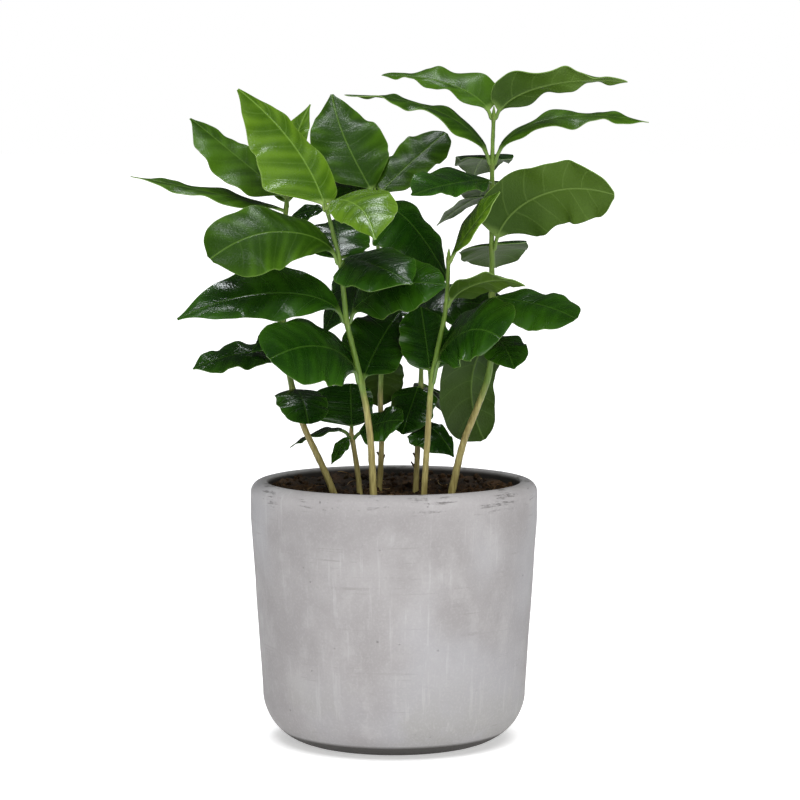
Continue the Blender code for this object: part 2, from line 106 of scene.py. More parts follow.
# Half the blade's width along it, as shares, for each shape of blade.
OUTLINES = {
    "lance": (
        (0.0, 0.08),
        (0.05, 0.28),
        (0.13, 0.6),
        (0.24, 0.89),
        (0.38, 1.0),
        (0.52, 0.95),
        (0.66, 0.8),
        (0.79, 0.54),
        (0.88, 0.3),
        (0.95, 0.12),
        (1.0, 0.03),
    ),
    "oval": (
        (0.0, 0.12),
        (0.04, 0.45),
        (0.1, 0.75),
        (0.2, 0.95),
        (0.36, 1.0),
        (0.54, 0.97),
        (0.69, 0.84),
        (0.8, 0.62),
        (0.89, 0.33),
        (0.95, 0.13),
        (1.0, 0.03),
    ),
    "clasp": (
        (0.0, 0.25),
        (0.03, 0.62),
        (0.09, 0.92),
        (0.18, 1.0),
        (0.32, 0.96),
        (0.5, 0.84),
        (0.65, 0.72),
        (0.78, 0.56),
        (0.88, 0.36),
        (0.95, 0.15),
        (1.0, 0.03),
    ),
    "broad": (
        (0.0, 0.3),
        (0.04, 0.72),
        (0.12, 0.96),
        (0.25, 1.0),
        (0.45, 0.98),
        (0.64, 0.97),
        (0.78, 0.92),
        (0.89, 0.76),
        (0.95, 0.54),
        (0.98, 0.28),
        (1.0, 0.05),
    ),
    "blunt": (
        (0.0, 0.15),
        (0.04, 0.5),
        (0.1, 0.8),
        (0.22, 0.96),
        (0.42, 1.0),
        (0.62, 1.0),
        (0.77, 0.94),
        (0.88, 0.78),
        (0.95, 0.54),
        (0.98, 0.28),
        (1.0, 0.05),
    ),
    "round": (
        (0.0, 0.15),
        (0.04, 0.5),
        (0.1, 0.8),
        (0.22, 0.97),
        (0.42, 1.0),
        (0.6, 0.98),
        (0.74, 0.88),
        (0.85, 0.68),
        (0.93, 0.38),
        (0.97, 0.14),
        (1.0, 0.03),
    ),
    "spoon": (
        (0.0, 0.1),
        (0.07, 0.3),
        (0.18, 0.52),
        (0.34, 0.76),
        (0.52, 0.94),
        (0.68, 1.0),
        (0.8, 0.96),
        (0.89, 0.8),
        (0.95, 0.56),
        (0.98, 0.28),
        (1.0, 0.05),
    ),
}

Stem = namedtuple("Stem", "line foot_radius top_radius nodes")

STEMS = {
    "stem_1": Stem(
        (
            (-28, -2, 118),
            (-34.5, -2, 134),
            (-44.7, -1, 156),
            (-51.2, 2, 180),
            (-54.2, 5, 205),
            (-54.2, 8, 235),
            (-52.2, 10, 268),
        ),
        1.9,
        1.0,
        (170, 187, 204, 252, 259, 266),
    ),
    "stem_2": Stem(((-16.5, 4, 118), (-18, 4, 132), (-20.7, 4, 149)), 1.5, 1.2, (148,)),
    "stem_3": Stem(
        (
            (-9.7, -26, 118),
            (-10.7, -26, 142),
            (-12.8, -27, 163),
            (-15.8, -27, 178),
            (-19, -28, 192),
            (-22.4, -29, 207),
            (-25.5, -30, 235),
            (-28.6, -31, 248),
            (-31.8, -32, 261),
        ),
        1.85,
        1.0,
        (178, 207, 235, 261),
    ),
    "stem_4": Stem(
        (
            (-7.5, 20, 118),
            (-6.2, 18, 145),
            (-6.8, 16, 167),
            (-6.2, 13, 185),
            (-6.5, 8, 215),
            (-8, 3, 245),
            (-9, 0, 266),
        ),
        1.5,
        0.9,
        (185, 236, 255, 265),
    ),
    "stem_5": Stem(
        ((10.5, 14, 118), (11.8, 14, 147), (13.2, 15, 174), (13.5, 17, 206)),
        1.5,
        1.0,
        (153, 172, 205),
    ),
    "stem_6": Stem(
        (
            (14, -24, 118),
            (16, -24, 149),
            (18, -23, 178),
            (20.4, -22, 191),
            (25, -20, 214),
            (26.2, -19, 237),
        ),
        1.6,
        1.0,
        (178, 214, 236),
    ),
    "stem_7": Stem(
        (
            (27, -10, 118),
            (33.5, -10, 147),
            (40.3, -9, 164),
            (46, -8, 181),
            (47.4, -8, 200),
            (47.4, -7, 220),
            (47.2, -7, 242),
            (47.4, -6, 282),
            (48, -6, 305),
        ),
        1.95,
        0.95,
        (197, 219, 241, 270, 281, 304),
    ),
}

Leaf = namedtuple("Leaf", "node reach width arch droop roll fold wave shape tone sweep lop twist stalk", defaults=(0, 0, 0, STALK_LENGTH))

LEAVES = {
    "leaf_1a": Leaf(266, (-48, 16, 38), 31, 0, 0, 25, 12, 1.5, "oval", "mid", lop=-0.3),
    "leaf_1b": Leaf(259, (-74.5, -14, 17), 20, 1, 0, 18, 8, 1.2, "lance", "mid"),
    "leaf_1c": Leaf(187, (-45, -12, -2), 21, 4, 2, 30, 8, 1.5, "round", "dark"),
    "leaf_1d": Leaf(204, (-15, -10, -13), 14, 2, 0, 20, 8, 0.8, "oval", "dark", lop=-0.6),
    "leaf_1e": Leaf(170, (8, -27, -8), 25, 4, 4, 0, 5, 1.0, "blunt", "dark"),
    "leaf_1g": Leaf(204, (8, 34, 26), 32, 5, 3, 0, 8, 1.5, "lance", "dark"),
    "leaf_1h": Leaf(262, (11, 30, 49), 17, 0, 0, 0, 8, 1.0, "oval", "young", sweep=-4, lop=-0.15),
    "leaf_1i": Leaf(252, (20, -6, 8), 12, 3, 0, -40, 8, 0.5, "lance", "dark"),
    "leaf_2a": Leaf(148, (-1, 10, 26), 31, 3, 0, 6, 8, 1.0, "blunt", "dark", lop=-0.3, stalk=LONG_STALK),
    "leaf_2b": Leaf(148, (-31, 12, -4), 13, 5, 2, 12, 8, 0.8, "lance", "dark", stalk=LONG_STALK),
    "leaf_2c": Leaf(148, (-10, -8, -12), 8, 2, 0, 20, 10, 0.5, "lance", "dark"),
    "leaf_2d": Leaf(148, (25, -15, 12), 22, 2, 2, -45, 5, 1.0, "round", "dark", stalk=LONG_STALK),
    "leaf_3a": Leaf(261, (-43.5, 30, 57), 36, 3, 0, 28, 8, 1.5, "clasp", "young", sweep=8.5, lop=-0.4),
    "leaf_3b": Leaf(261, (23, -40, -9), 30, 6.5, 4, -25, 5, 1.0, "oval", "young", sweep=-4, lop=-0.2),
    "leaf_3c": Leaf(178, (-42, -38, 16), 38, 12, 2, 50, 0, 1.5, "broad", "dark"),
    "leaf_3d": Leaf(178, (19, 36, 34), 31, 3, 2, -30, 5, 1.5, "oval", "dark", lop=-0.15),
    "leaf_3e": Leaf(207, (-80, -12, 6), 31, 12, 4, 55, 5, 1.5, "lance", "dark", lop=0.12),
    "leaf_3f": Leaf(207, (47, -15, 20), 31, 9, 2, -48, 5, 1.5, "round", "dark"),
    "leaf_3g": Leaf(235, (-60.5, -22, 10), 40, 11.5, 7, 48, 0, 1.5, "spoon", "mid"),
    "leaf_3h": Leaf(235, (34, -34, -8), 37, 4, 0, -25, 5, 1.0, "oval", "dark"),
    "leaf_3i": Leaf(235, (-3, 36, 22), 31, 3, 2, 0, 8, 1.5, "oval", "dark"),
    "leaf_4a": Leaf(265, (-22, 42, 51), 38, 3, 0, 20, 5, 2.0, "lance", "mid", sweep=-4, lop=0.05, stalk=LONG_STALK),
    "leaf_4b": Leaf(265, (34.5, 30, 32), 23, 2, 0, -32, 5, 2.0, "blunt", "mid", lop=-0.1, stalk=LONG_STALK),
    "leaf_4c": Leaf(255, (35, -10, -27), 34, 11, 3, -35, 5, 1.5, "oval", "dark", lop=0.35),
    "leaf_4d": Leaf(255, (-20, 30, 22), 29, 4, 1, 20, 5, 1.5, "oval", "dark"),
    "leaf_4f": Leaf(185, (-1, 16, -24), 23, 3, 0, 0, 8, 1.0, "round", "dark"),
    "leaf_4h": Leaf(236, (-27, -6, -35), 34, 6, 2, 20, 5, 1.0, "oval", "dark"),
    "leaf_5a": Leaf(153, (17, -21, -10), 20, 3, 3, -20, 8, 1.0, "oval", "dark", lop=0.45),
    "leaf_5b": Leaf(153, (-18, 20, -4), 20, 3, 2, 10, 8, 0.8, "lance", "dark"),
    "leaf_5c": Leaf(172, (-9, -12, -22), 25, 2, 0, 10, 8, 1.0, "round", "dark"),
    "leaf_5d": Leaf(172, (16, 16, -16), 25, 3, 0, -10, 8, 1.0, "round", "dark"),
    "leaf_5e": Leaf(205, (-24, 40, 8), 30, 4, 3, 10, 8, 1.0, "oval", "dark"),
    "leaf_5f": Leaf(205, (52, 6, 2), 34, 8, 3, -35, 5, 1.0, "oval", "dark"),
    "leaf_6a": Leaf(236, (24, -18, 33), 21, 2, 0, -50, 10, 0.5, "lance", "young", lop=-0.35),
    "leaf_6c": Leaf(178, (-5, 16, 35), 26, 3, 0, 0, 8, 1.0, "round", "dark", stalk=LONG_STALK),
    "leaf_6d": Leaf(178, (32, -29, 27), 37, 13, 4, -52, 0, 1.5, "broad", "dark", lop=-0.15, stalk=LONG_STALK),
    "leaf_6e": Leaf(214, (37, -24, 15), 17, 6, 4, 30, 5, 1.0, "oval", "mid"),
    "leaf_7a": Leaf(304, (-54, 22, 21), 22, 8.5, 0, 44, 8, 1.9, "clasp", "mid", lop=0.45, twist=-30),
    "leaf_7b": Leaf(304, (63, -20, 18), 24, 9, 1, 44, 8, 2.1, "clasp", "mid", lop=0.35, twist=-30),
    "leaf_7c": Leaf(282, (-71, -12, 33), 23, 13.5, 0, 30, 8, 1.8, "clasp", "mid", twist=-30),
    "leaf_7d": Leaf(282, (76, 8, 20), 24, 14.5, 0, -16, 8, 2.0, "lance", "mid"),
    "leaf_7f": Leaf(241, (56.5, -38, 30), 34, 15, 3, 60, 0, 2.0, "broad", "mid"),
    "leaf_7g": Leaf(197, (10, -26, -9), 22, 3, 3, -12, 5, 1.0, "round", "dark"),
    "leaf_7h": Leaf(217, (39, -30, -5), 30, 1, 3, -28, 5, 1.2, "blunt", "dark", lop=0.15),
    "leaf_7j": Leaf(273, (-39, -52, -4), 24, 2, 1, 28, 5, 1.5, "oval", "dark", lop=0.38),
    "leaf_7k": Leaf(271, (-6, 36, -6), 24, 4, 3, 0, 5, 1.0, "round", "dark"),
    "leaf_7l": Leaf(197, (-3, 24, -51), 28, 4, 0, 4, 5, 1.2, "broad", "dark", sweep=-8, lop=-0.18),
    "leaf_7n": Leaf(264, (-26, 44, -13), 12, 5, 0, 0, 8, 0.5, "lance", "dark"),
    "leaf_7p": Leaf(282, (-8, 50, -4), 28, 5, 3, 0, 8, 1.5, "oval", "dark"),
    "leaf_7q": Leaf(241, (3, 44, -8), 34, 4, 3, 8, 8, 1.0, "round", "dark"),
}


# How much lighter, or with a minus darker, some blades are painted than others of their tone: partly their own tone,
# partly painted light and shade.
SHADE_AND_TONE = {
    "leaf_3b": 0.12,
    "leaf_3d": -0.1,
    "leaf_3e": 0.05,
    "leaf_3g": -0.1,
    "leaf_4a": -0.1,
    "leaf_4b": -0.12,
    "leaf_6e": -0.2,
    "leaf_7a": 0.15,
    "leaf_7d": 0.15,
    "leaf_7f": -0.2,
}


# ---- Materials ----


class Value:
    """A socket of a material. Sums written with it add the Math nodes that work them out."""

    def __init__(self, finish, socket):
        self.finish = finish
        self.socket = socket

    def sum(self, operation, *values):
        return self.finish.node("ShaderNodeMath", {"operation": operation}, dict(enumerate(values)))

    def __add__(self, other):
        return self.sum("ADD", self, other)

    def __sub__(self, other):
        return self.sum("SUBTRACT", self, other)

    def __rsub__(self, other):
        return self.sum("SUBTRACT", other, self)

    def __mul__(self, other):
        return self.sum("MULTIPLY", self, other)

    def __truediv__(self, other):
        return self.sum("DIVIDE", self, other)

    def __pow__(self, other):
        return self.sum("POWER", self, other)

    def __abs__(self):
        return self.sum("ABSOLUTE", self)

    __radd__ = __add__
    __rmul__ = __mul__


class Finish:
    """A material in the making."""

    def __init__(self, name):
        self.material = bpy.data.materials.new(name)
        self.material.use_nodes = True
        self.tree = self.material.node_tree
        self.shader = self.tree.nodes["Principled BSDF"]

    def node(self, kind, settings, sockets, out=0):
        """Adds a node of that type, with its settings and the values or links of its sockets."""
        made = self.tree.nodes.new(kind)
        stops = settings.pop("stops", ())
        for name, value in settings.items():
            setattr(made, name, value)
        for i, (place, colour) in enumerate(stops):
            ramp = made.color_ramp.elements
            stop = ramp[i] if i < len(ramp) else ramp.new(place)
            stop.position = place
            stop.color = (*colour, 1.0)
        self.fill(made, sockets)
        return Value(self, made.outputs[out])

    def fill(self, node, sockets):
        for name, value in sockets.items():
            if isinstance(value, Value):
                self.tree.links.new(value.socket, node.inputs[name])
            elif isinstance(value, tuple) and node.inputs[name].type == "RGBA":
                node.inputs[name].default_value = (*value, 1.0)
            else:
                node.inputs[name].default_value = value

    def surface(self, sockets):
        self.fill(self.shader, sockets)
        return self.material

    def place(self):
        return self.node("ShaderNodeTexCoord", {}, {}, out=3)

    def stretched(self, place, scale):
        return self.node("ShaderNodeMapping", {}, {"Vector": place, "Scale": scale})

    def reading(self, name):
        """A measure that the piece's mesh carries at each point."""
        return self.node("ShaderNodeAttribute", {"attribute_name": name}, {}, out=2)

    def speckle(self, place, scale, detail=3.0, roughness=0.5):
        sockets = {"Vector": place, "Scale": scale, "Detail": detail, "Roughness": roughness}
        return self.node("ShaderNodeTexNoise", {}, sockets)

    def cells(self, place, scale, feature="F1"):
        return self.node("ShaderNodeTexVoronoi", {"feature": feature}, {"Vector": place, "Scale": scale})

    def rise(self, value, low, high):
        """0 below low and 1 above high, with a soft step between."""
        sockets = {0: value, 1: low, 2: high}
        return self.node("ShaderNodeMapRange", {"interpolation_type": "SMOOTHSTEP"}, sockets)

    def blend(self, share, first, second):
        """One colour turning into another."""
        return self.node("ShaderNodeMix", {"data_type": "RGBA"}, {0: share, 6: first, 7: second}, out=2)

    def height(self, place):
        return self.node("ShaderNodeSeparateXYZ", {}, {0: place}, out=2)

    def relief(self, height):
        """Bumps from a height in millimetres."""
        return self.node("ShaderNodeBump", {}, {"Height": height, "Distance": MM, "Strength": 1.0})


def concrete():
    finish = Finish("cast_concrete")
    place = finish.place()
    height = finish.height(place)
    cloud = finish.speckle(place, 22, 5.0, 0.6)
    blotch = finish.speckle(place, 11, 2.0)
    patch = finish.speckle(finish.stretched(place, (1.0, 1.0, 0.6)), 70, 6.0, 0.65)
    streak = finish.speckle(finish.stretched(place, (330.0, 330.0, 11.0)), 1.0, 3.0, 0.6)
    trowel = finish.speckle(finish.stretched(place, (18.0, 18.0, 420.0)), 1.0, 4.0, 0.65)
    grain = finish.speckle(place, 900, 2.0)
    colour = finish.blend(finish.rise(cloud, 0.35, 0.68), (0.258, 0.245, 0.247), (0.322, 0.309, 0.312))
    colour = finish.blend(finish.rise(blotch, 0.45, 0.6) * 0.4, colour, (0.335, 0.338, 0.362))
    colour = finish.blend(finish.rise(patch, 0.5, 0.7) * 0.4, colour, (0.38, 0.368, 0.370))
    worn_side = finish.rise(cloud, 0.42, 0.6)
    colour = finish.blend(finish.rise(streak, 0.56, 0.68) * worn_side * 0.32, colour, (0.46, 0.45, 0.46))
    colour = finish.blend(finish.rise(trowel, 0.58, 0.68) * finish.rise(patch, 0.44, 0.6) * 0.4, colour, (0.19, 0.18, 0.175))
    low = 1 - finish.rise(height, 0.008, 0.05)
    colour = finish.blend(low * finish.rise(cloud, 0.45, 0.62) * 0.4, colour, (0.20, 0.195, 0.165))
    # Painted shade: the lowest 20 mm of the pot are darkened where it stands on the floor.
    foot = 1 - finish.rise(height, 0.0, 0.02)
    colour = finish.blend(foot * 0.5, colour, (0.17, 0.162, 0.158))
    # Painted light: the top of the wall and the rim are lightened, as lit from above.
    colour = finish.blend(finish.rise(height, 0.115, 0.126) * 0.25, colour, (0.44, 0.425, 0.43))
    rim = finish.rise(height, 0.116, 0.123)
    scuff = finish.speckle(finish.stretched(place, (55.0, 55.0, 650.0)), 1.0, 5.0, 0.7)
    worn = finish.rise(patch, 0.48, 0.58) * finish.rise(scuff, 0.54, 0.62) * rim
    colour = finish.blend(worn * 0.7, colour, (0.09, 0.083, 0.078))
    # Painted shade: the pinholes are darkened as well as dented.
    pits = 1 - finish.rise(finish.cells(place, 210), 0.05, 0.14)
    pits = pits * finish.rise(finish.speckle(place, 60), 0.58, 0.66)
    colour = finish.blend(pits * 0.5, colour, (0.14, 0.133, 0.13))
    colour = finish.blend(finish.rise(grain, 0.45, 0.75) * 0.15, colour, (0.45, 0.44, 0.44))
    # Painted shade: the inside wall below the rim is darkened nearly to black as the shade inside the pot, with some
    # real damp darkening.
    damp = finish.reading("inside") * (1 - finish.rise(height, 0.1255, 0.128))
    colour = finish.blend(damp * 0.95, colour, (0.022, 0.019, 0.016))
    return finish.surface(
        {
            "Base Color": colour,
            "Roughness": 0.62 + 0.25 * finish.speckle(place, 120, 4.0),
            "Normal": finish.relief(0.12 * grain + 0.5 * patch - 0.35 * pits + 0.12 * cloud - 0.2 * worn),
        }
    )


def earth():
    finish = Finish("potting_soil")
    place = finish.place()
    clod = finish.speckle(place, 150, 5.0, 0.7)
    damp = finish.speckle(place, 26, 2.0)
    fibre = finish.speckle(finish.stretched(place, (1.0, 0.35, 1.0)), 700, 3.0, 0.6)
    grit = finish.cells(place, 600)
    colour = finish.blend(finish.rise(clod, 0.36, 0.62), (0.008, 0.005, 0.0025), (0.052, 0.027, 0.011))
    colour = finish.blend(finish.rise(fibre, 0.55, 0.72) * 0.7, colour, (0.12, 0.065, 0.025))
    colour = finish.blend(finish.rise(grit, 0.35, 0.75) * 0.3, colour, (0.075, 0.038, 0.016))
    colour = finish.blend(finish.rise(damp, 0.5, 0.65) * 0.55, colour, (0.008, 0.006, 0.004))
    return finish.surface(
        {
            "Base Color": colour,
            "Roughness": 0.75 + 0.2 * clod,
            "Normal": finish.relief(1.2 * clod + 0.5 * grit + 0.3 * fibre),
        }
    )


def root_fibre():
    finish = Finish("root_fibre")
    tone = finish.speckle(finish.place(), 60, 2.0)
    colour = finish.blend(finish.rise(tone, 0.35, 0.65), (0.10, 0.05, 0.02), (0.34, 0.24, 0.11))
    return finish.surface({"Base Color": colour, "Roughness": 0.65 + 0.2 * tone})


def bark():
    """The stems' skin: tan at the foot, with fine lengthwise lines, and green higher up."""
    finish = Finish("stem_skin")
    place = finish.place()
    green = finish.reading("green")
    ring = finish.reading("ring")
    grain = finish.speckle(finish.stretched(place, (1.0, 1.0, 0.12)), 900, 4.0, 0.6)
    patch = finish.speckle(place, 90, 3.0)
    tan = finish.blend(finish.rise(grain, 0.35, 0.7), (0.23, 0.185, 0.06), (0.43, 0.375, 0.14))
    fresh = finish.blend(finish.rise(grain, 0.35, 0.7), (0.08, 0.15, 0.015), (0.16, 0.26, 0.04))
    colour = finish.blend(finish.rise(green + 0.35 * patch, 0.3, 0.9), tan, fresh)
    colour = finish.blend(ring * 0.5, colour, (0.16, 0.15, 0.04))
    return finish.surface(
        {
            "Base Color": colour,
            "Roughness": 0.42 + 0.2 * grain,
            "Normal": finish.relief(0.12 * grain),
        }
    )


def dry_stub():
    finish = Finish("dry_stub")
    tone = finish.speckle(finish.place(), 500, 3.0)
    colour = finish.blend(finish.rise(tone, 0.35, 0.65), (0.028, 0.018, 0.008), (0.12, 0.08, 0.035))
    return finish.surface({"Base Color": colour, "Roughness": 0.7 + 0.2 * tone, "Normal": finish.relief(0.3 * tone)})


# The colours of each leaf tone: shaded green, lit green, veins, underside, margin.
Greens = namedtuple("Greens", "deep fresh vein under margin veined ribbed rough gloss")
LEAF_GREENS = {
    "dark": Greens(
        deep=(0.004, 0.022, 0.001),
        fresh=(0.021, 0.074, 0.003),
        vein=(0.05, 0.12, 0.012),
        under=(0.030, 0.062, 0.006),
        margin=(0.11, 0.19, 0.035),
        veined=0.04,
        ribbed=0.35,
        rough=0.14,
        gloss=0.55,
    ),
    "mid": Greens(
        deep=(0.014, 0.042, 0.0015),
        fresh=(0.045, 0.110, 0.005),
        vein=(0.10, 0.19, 0.025),
        under=(0.050, 0.100, 0.006),
        margin=(0.17, 0.27, 0.06),
        veined=0.08,
        ribbed=0.45,
        rough=0.25,
        gloss=0.3,
    ),
    "young": Greens(
        deep=(0.036, 0.088, 0.003),
        fresh=(0.085, 0.170, 0.008),
        vein=(0.18, 0.31, 0.05),
        under=(0.09, 0.16, 0.025),
        margin=(0.25, 0.36, 0.09),
        veined=0.1,
        ribbed=0.5,
        rough=0.17,
        gloss=0.5,
    ),
}


def vein_marks(finish):
    """How near each point of a blade is to the midrib, to a side vein and to the stalk, from 0 to 1."""
    from_rib = abs(finish.reading("across")) * finish.reading("half")
    along = finish.reading("along")
    rib = 1 - finish.rise(from_rib, 0.15, 0.65)
    phase = finish.reading("vein")
    from_vein = abs(finish.node("ShaderNodeMath", {"operation": "FRACT"}, {0: phase + 0.5}) - 0.5)
    vein = 1 - finish.rise(from_vein, 0.0, 0.07)
    panel = finish.rise(from_vein, 0.1, 0.5)
    fade = finish.rise(along, 0.02, 0.12) * (1 - finish.rise(along, 0.8, 0.95))
    stalk = 1 - finish.rise(along, 0.0, 0.04)
    return rib, vein * fade, panel * fade, stalk


def leaf_upper(tone):
    greens = LEAF_GREENS[tone]
    finish = Finish("leaf_upper_" + tone)
    place = finish.place()
    rib, vein, panel, stalk = vein_marks(finish)
    out = abs(finish.reading("across"))
    cloud = finish.speckle(place, 32, 3.0)
    mottle = finish.speckle(place, 210, 3.0)
    wrinkle = finish.speckle(place, 85, 3.0, 0.55)
    net = finish.cells(place, 620, "DISTANCE_TO_EDGE")
    # Painted light and shade: each blade goes from its shaded green to its lit green, lighter toward its margins and
    # on the panels between side veins.
    lit = finish.rise(0.75 * cloud + 0.3 * out * out + 2.5 * greens.veined * panel + finish.reading("shade_and_tone"), 0.3, 0.85)
    colour = finish.blend(lit, greens.deep, greens.fresh)
    colour = finish.blend(finish.rise(mottle, 0.45, 0.8) * 0.15, colour, greens.fresh)
    colour = finish.blend(vein * greens.veined, colour, greens.vein)
    colour = finish.blend(rib * greens.ribbed, colour, greens.vein)
    # Painted highlight: a thin pale line along the blade's edge.
    colour = finish.blend(finish.rise(out, 0.96, 0.995) * 0.3, colour, greens.margin)
    colour = finish.blend(stalk * 0.8, colour, greens.margin)
    relief = 0.03 * finish.rise(net, 0.0, 0.25) - 0.03 * vein - 0.1 * rib + 0.06 * mottle + 0.6 * wrinkle
    return finish.surface(
        {
            "Base Color": colour,
            "Roughness": greens.rough + 0.2 * cloud + 0.05 * vein,
            "Normal": finish.relief(relief),
            "Specular IOR Level": greens.gloss,
        }
    )


def leaf_under(tone):
    greens = LEAF_GREENS[tone]
    finish = Finish("leaf_under_" + tone)
    place = finish.place()
    rib, vein, panel, stalk = vein_marks(finish)
    cloud = finish.speckle(place, 60, 3.0)
    net = finish.cells(place, 620, "DISTANCE_TO_EDGE")
    # Painted shade: the underside is darkened toward the stalk, where it lies in shade.
    shade_near_stem = 1 - finish.rise(finish.reading("along"), 0.05, 0.6)
    colour = finish.blend(finish.rise(cloud - 0.1 * panel + finish.reading("shade_and_tone"), 0.3, 0.8) * 0.4, greens.under, greens.vein)
    colour = finish.blend(shade_near_stem * 0.6, colour, greens.deep)
    colour = finish.blend(vein * 0.15, colour, greens.margin)
    colour = finish.blend(rib * 0.5, colour, greens.margin)
    colour = finish.blend(stalk * 0.8, colour, greens.margin)
    return finish.surface(
        {
            "Base Color": colour,
            "Roughness": 0.5 + 0.15 * cloud,
            "Normal": finish.relief(0.08 * vein + 0.2 * rib - 0.05 * finish.rise(net, 0.0, 0.25)),
            "Specular IOR Level": 0.24,
        }
    )


def leaf_margin(tone):
    # The blade's thin edge, in pale greens that paint a bright edge highlight around each leaf.
    greens = LEAF_GREENS[tone]
    finish = Finish("leaf_margin_" + tone)
    cloud = finish.speckle(finish.place(), 120, 3.0)
    colour = finish.blend(cloud, greens.vein, greens.margin)
    return finish.surface({"Base Color": colour, "Roughness": 0.35 + 0.2 * cloud})


def floor_paper():
    finish = Finish("floor_paper")
    fibre = finish.speckle(finish.place(), 300, 3.0)
    colour = finish.blend(fibre, (0.92, 0.92, 0.92), (0.94, 0.94, 0.94))
    glow = {"Emission Color": (1.0, 1.0, 1.0), "Emission Strength": 0.45}
    return finish.surface({"Base Color": colour, "Roughness": 0.9, **glow})


# ---- Modelling ----


def deselect():
    if bpy.context.object and bpy.context.object.mode != "OBJECT":
        bpy.ops.object.mode_set(mode="OBJECT")
    bpy.ops.object.select_all(action="DESELECT")


def only(piece):
    deselect()
    piece.select_set(True)
    bpy.context.view_layer.objects.active = piece


def apply_modifiers(piece):
    only(piece)
    for modifier in list(piece.modifiers):
        bpy.ops.object.modifier_apply(modifier=modifier.name)


def placed(piece):
    """Moves a piece's place, turn and size into its mesh."""
    only(piece)
    bpy.ops.object.transform_apply(location=True, rotation=True, scale=True)


def shown_as(piece, name, materials, slot, *nodes):
    """Names a finished piece, gives it its materials, hangs it on the root body and hides the imported solids it
    stands for.
    """
    piece.name = piece.data.name = name
    for made in materials:
        piece.data.materials.append(made)
    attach(piece, "root")
    if nodes:
        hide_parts(*nodes)
    return piece


def drawn_up(rings, sides):
    """A closed round body drawn ring by ring from its foot: each ring is (centre, radius)."""
    deselect()
    centre, radius = rings[0]
    bpy.ops.mesh.primitive_circle_add(
        vertices=sides, radius=radius * MM, fill_type="NGON", location=Vector(centre) * MM
    )
    piece = bpy.context.object
    bpy.ops.object.mode_set(mode="EDIT")
    for (last, was), (centre, radius) in zip(rings, rings[1:]):
        step = (Vector(centre) - Vector(last)) * MM
        bpy.ops.mesh.extrude_region_move(TRANSFORM_OT_translate={"value": step})
        size = radius / was
        bpy.ops.transform.resize(value=(size, size, 1.0), center_override=Vector(centre) * MM)
    bpy.ops.mesh.select_all(action="SELECT")
    bpy.ops.mesh.normals_make_consistent(inside=False)
    bpy.ops.object.mode_set(mode="OBJECT")
    placed(piece)
    bpy.ops.object.shade_smooth_by_angle(angle=math.radians(50))
    return piece


def arc(centre, radius, start, end, steps):
    """Points on a round corner in the (radius, height) plane, from one angle in degrees to another."""
    points = []
    for i in range(steps + 1):
        angle = math.radians(start + (end - start) * i / steps)
        points.append((centre[0] + radius * math.cos(angle), centre[1] + radius * math.sin(angle)))
    return points


def pot_profile():
    """The wall's section from the foot, up the outside, over the lip and down the inside."""
    foot, lip = POT_FOOT_ROUNDING, POT_LIP_ROUNDING
    inner = POT_RADIUS - POT_WALL
    inner_foot = POT_FOOT_WALL_RADIUS - POT_WALL
    profile = arc((POT_FOOT_WALL_RADIUS - foot, foot), foot, -90, 0, 16)
    wall = ((POT_FOOT_WALL_RADIUS, foot), (POT_RADIUS - 2.6, 70.4), (POT_RADIUS, 110.0))
    for (r0, z0), (r1, z1) in zip(wall, wall[1:]):
        profile += [(r0 + (r1 - r0) * i / 8, z0 + (z1 - z0) * i / 8) for i in range(1, 9)]
    profile += [(POT_RADIUS, 116.5)]
    profile += arc((POT_RADIUS - lip, POT_HEIGHT - lip), lip, 0, 90, 9)
    profile += arc((inner + 1.5, POT_HEIGHT - 1.5), 1.5, 90, 180, 4)
    steps = 12
    foot_height = POT_FLOOR + POT_INNER_ROUNDING
    fall = POT_HEIGHT - 1.5 - foot_height
    profile += [(inner + (inner_foot - inner) * i / steps, POT_HEIGHT - 1.5 - fall * i / steps) for i in range(1, steps)]
    profile += arc((inner_foot - POT_INNER_ROUNDING, foot_height), POT_INNER_ROUNDING, 0, -90, 6)
    return profile


def make_pot(material):
    rings = [((0.0, 0.0, z), r) for r, z in pot_profile()]
    pot = drawn_up(rings, POT_SIDES)
    inside = pot.data.attributes.new("inside", "FLOAT", "POINT")
    for i, vert in enumerate(pot.data.vertices):
        place = vert.co
        out = Vector((place.x, place.y, 0.0))
        inside.data[i].value = 1.0 if out.length < (pot_inner_radius(place.z / MM) + 0.5) * MM else 0.0
        if place.z > 2 * MM:
            vert.co += out.normalized() * (0.16 * noise.noise(place * 38.0) + 0.12 * noise.noise(place * 110.0)) * MM
    return shown_as(pot, "concrete_pot", [material], "concrete", "pot")


def soil_height(x, y):
    lumps = math.sin(x * 0.21 + 1.0) * math.cos(y * 0.26) + 0.6 * math.sin(x * 0.13 - y * 0.37)
    return SOIL_LEVEL + SOIL_SLOPE * x + SOIL_LUMP * lumps


def soil_top(x, y):
    """The soil's height with its clods."""
    place = Vector((x, y, 0.0))
    clods = 1.1 * noise.noise(place * 0.16) + 0.8 * noise.noise(place * 0.45) + 0.4 * noise.noise(place * 1.1)
    dish = SOIL_DISH * (1 - min(1.0, (x * x + y * y) / 58**2))
    return soil_height(x, y) + clods - dish


def pot_inner_radius(z):
    inner_top, inner_foot = POT_RADIUS - POT_WALL, POT_FOOT_WALL_RADIUS - POT_WALL
    foot_height = POT_FLOOR + POT_INNER_ROUNDING
    share = (z - foot_height) / (POT_HEIGHT - foot_height)
    return inner_foot + (inner_top - inner_foot) * share


